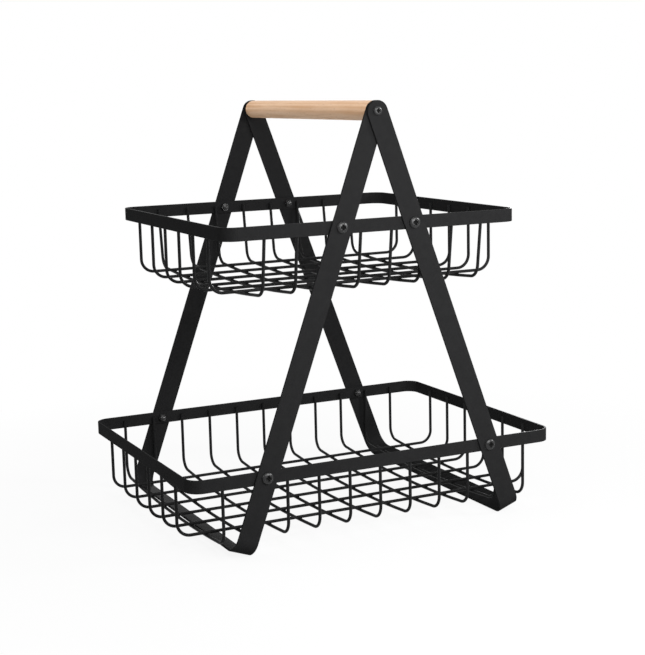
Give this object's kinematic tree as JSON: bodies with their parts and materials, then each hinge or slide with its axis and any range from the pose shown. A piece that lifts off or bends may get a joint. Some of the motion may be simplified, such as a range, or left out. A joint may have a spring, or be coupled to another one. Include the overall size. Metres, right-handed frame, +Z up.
{
  "type": "tiered wire basket",
  "caption": "Free-standing two-tier wire basket: rounded rectangular wire trays hung between A-shaped flat bar legs that meet at a turned wooden carrying handle.",
  "frame": {"origin": "on the table, under the middle of the stand", "axes": "+Z up, +X along the baskets' long side to the right as seen from the front, +Y towards the back; the handle runs along Y"},
  "size_m": [0.381, 0.2872, 0.4031],
  "materials": {
    "frame_coat": "satin black powder coat on flat steel bar",
    "rim_coat": "satin black powder coat on a flat steel band",
    "wire_coat": "satin black powder coat on steel wire",
    "screw_coat": "black coated steel",
    "nut_coat": "black coated steel, smooth dome",
    "handle_wood": "fine sanded pale hardwood, oiled",
    "insert_brass": "plain turned"
  },
  "bodies": {
    "root": {"left_frame": "frame_coat", "right_frame": "frame_coat", "handle": "handle_wood", "handle_inserts": "insert_brass", "handle_screws": "screw_coat", "lower_rim": "rim_coat", "lower_rim_screws": "screw_coat", "lower_rim_nuts": "nut_coat", "lower_cross_wire_1": "wire_coat", "lower_cross_wire_2": "wire_coat", "lower_cross_wire_3": "wire_coat", "lower_cross_wire_4": "wire_coat", "lower_cross_wire_5": "wire_coat", "lower_cross_wire_6": "wire_coat", "lower_cross_wire_7": "wire_coat", "lower_cross_wire_8": "wire_coat", "lower_cross_wire_9": "wire_coat", "lower_cross_wire_10": "wire_coat", "lower_cross_wire_11": "wire_coat", "lower_long_wire_1": "wire_coat", "lower_long_wire_2": "wire_coat", "lower_long_wire_3": "wire_coat", "lower_long_wire_4": "wire_coat", "lower_long_wire_5": "wire_coat", "lower_long_wire_6": "wire_coat", "upper_rim": "rim_coat", "upper_rim_screws": "screw_coat", "upper_rim_nuts": "nut_coat", "upper_cross_wire_1": "wire_coat", "upper_cross_wire_2": "wire_coat", "upper_cross_wire_3": "wire_coat", "upper_cross_wire_4": "wire_coat", "upper_cross_wire_5": "wire_coat", "upper_cross_wire_6": "wire_coat", "upper_cross_wire_7": "wire_coat", "upper_cross_wire_8": "wire_coat", "upper_long_wire_1": "wire_coat", "upper_long_wire_2": "wire_coat", "upper_long_wire_3": "wire_coat", "upper_long_wire_4": "wire_coat", "upper_long_wire_5": "wire_coat", "upper_long_wire_6": "wire_coat"}
  },
  "joints": []
}
